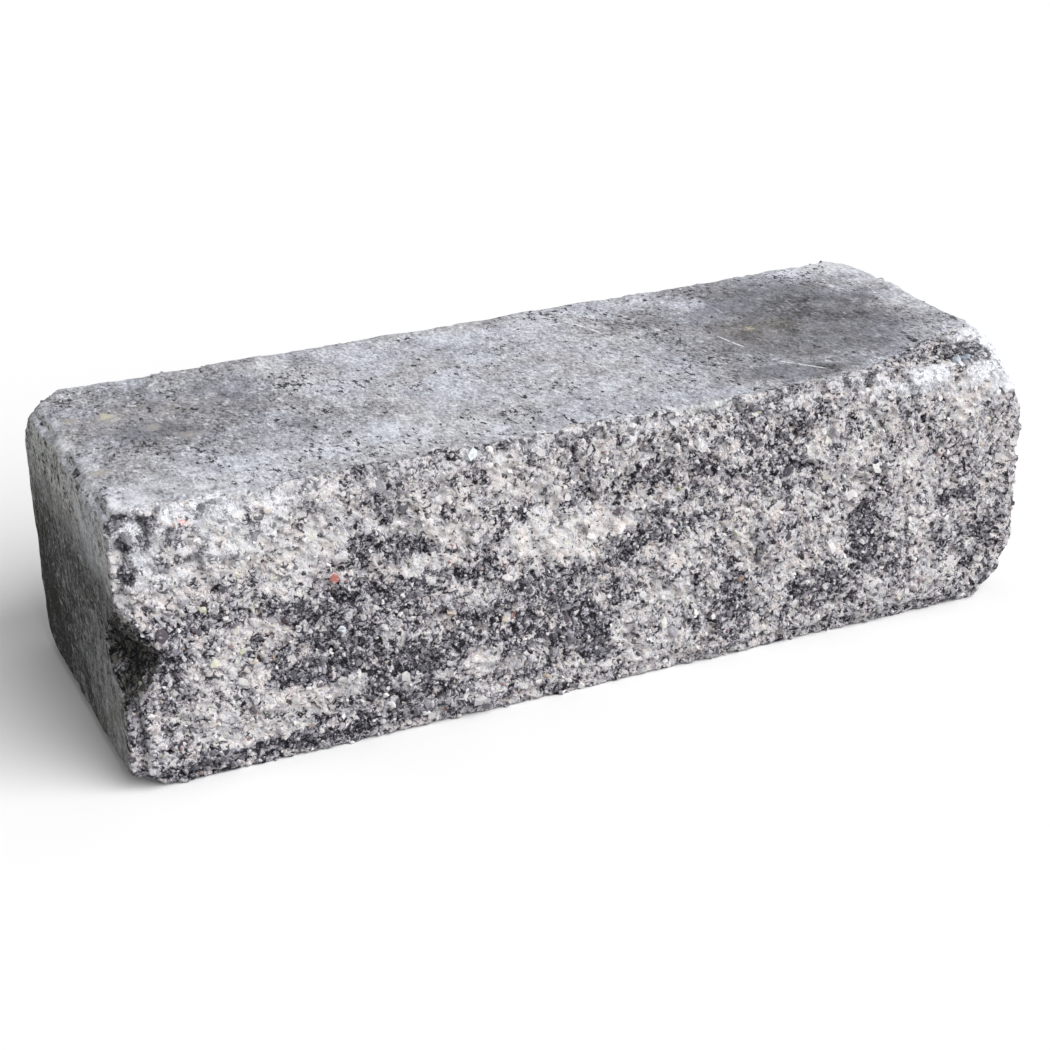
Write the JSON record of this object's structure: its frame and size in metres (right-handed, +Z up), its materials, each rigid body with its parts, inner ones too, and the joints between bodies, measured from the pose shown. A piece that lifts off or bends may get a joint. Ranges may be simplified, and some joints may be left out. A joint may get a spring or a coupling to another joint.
{
  "type": "garden wall block",
  "caption": "Solid tumbled concrete walling block with a split front face, flat beds and ends, and worn, chipped arrises.",
  "frame": {"origin": "middle of the underside of the block's bounding box", "axes": "+X along the length, +Y from the split face to the back, +Z up from the lower bed to the upper bed"},
  "size_m": [0.5, 0.19, 0.145],
  "materials": {
    "concrete": "rough"
  },
  "bodies": {
    "root": {"wall_block": "concrete"}
  },
  "joints": []
}
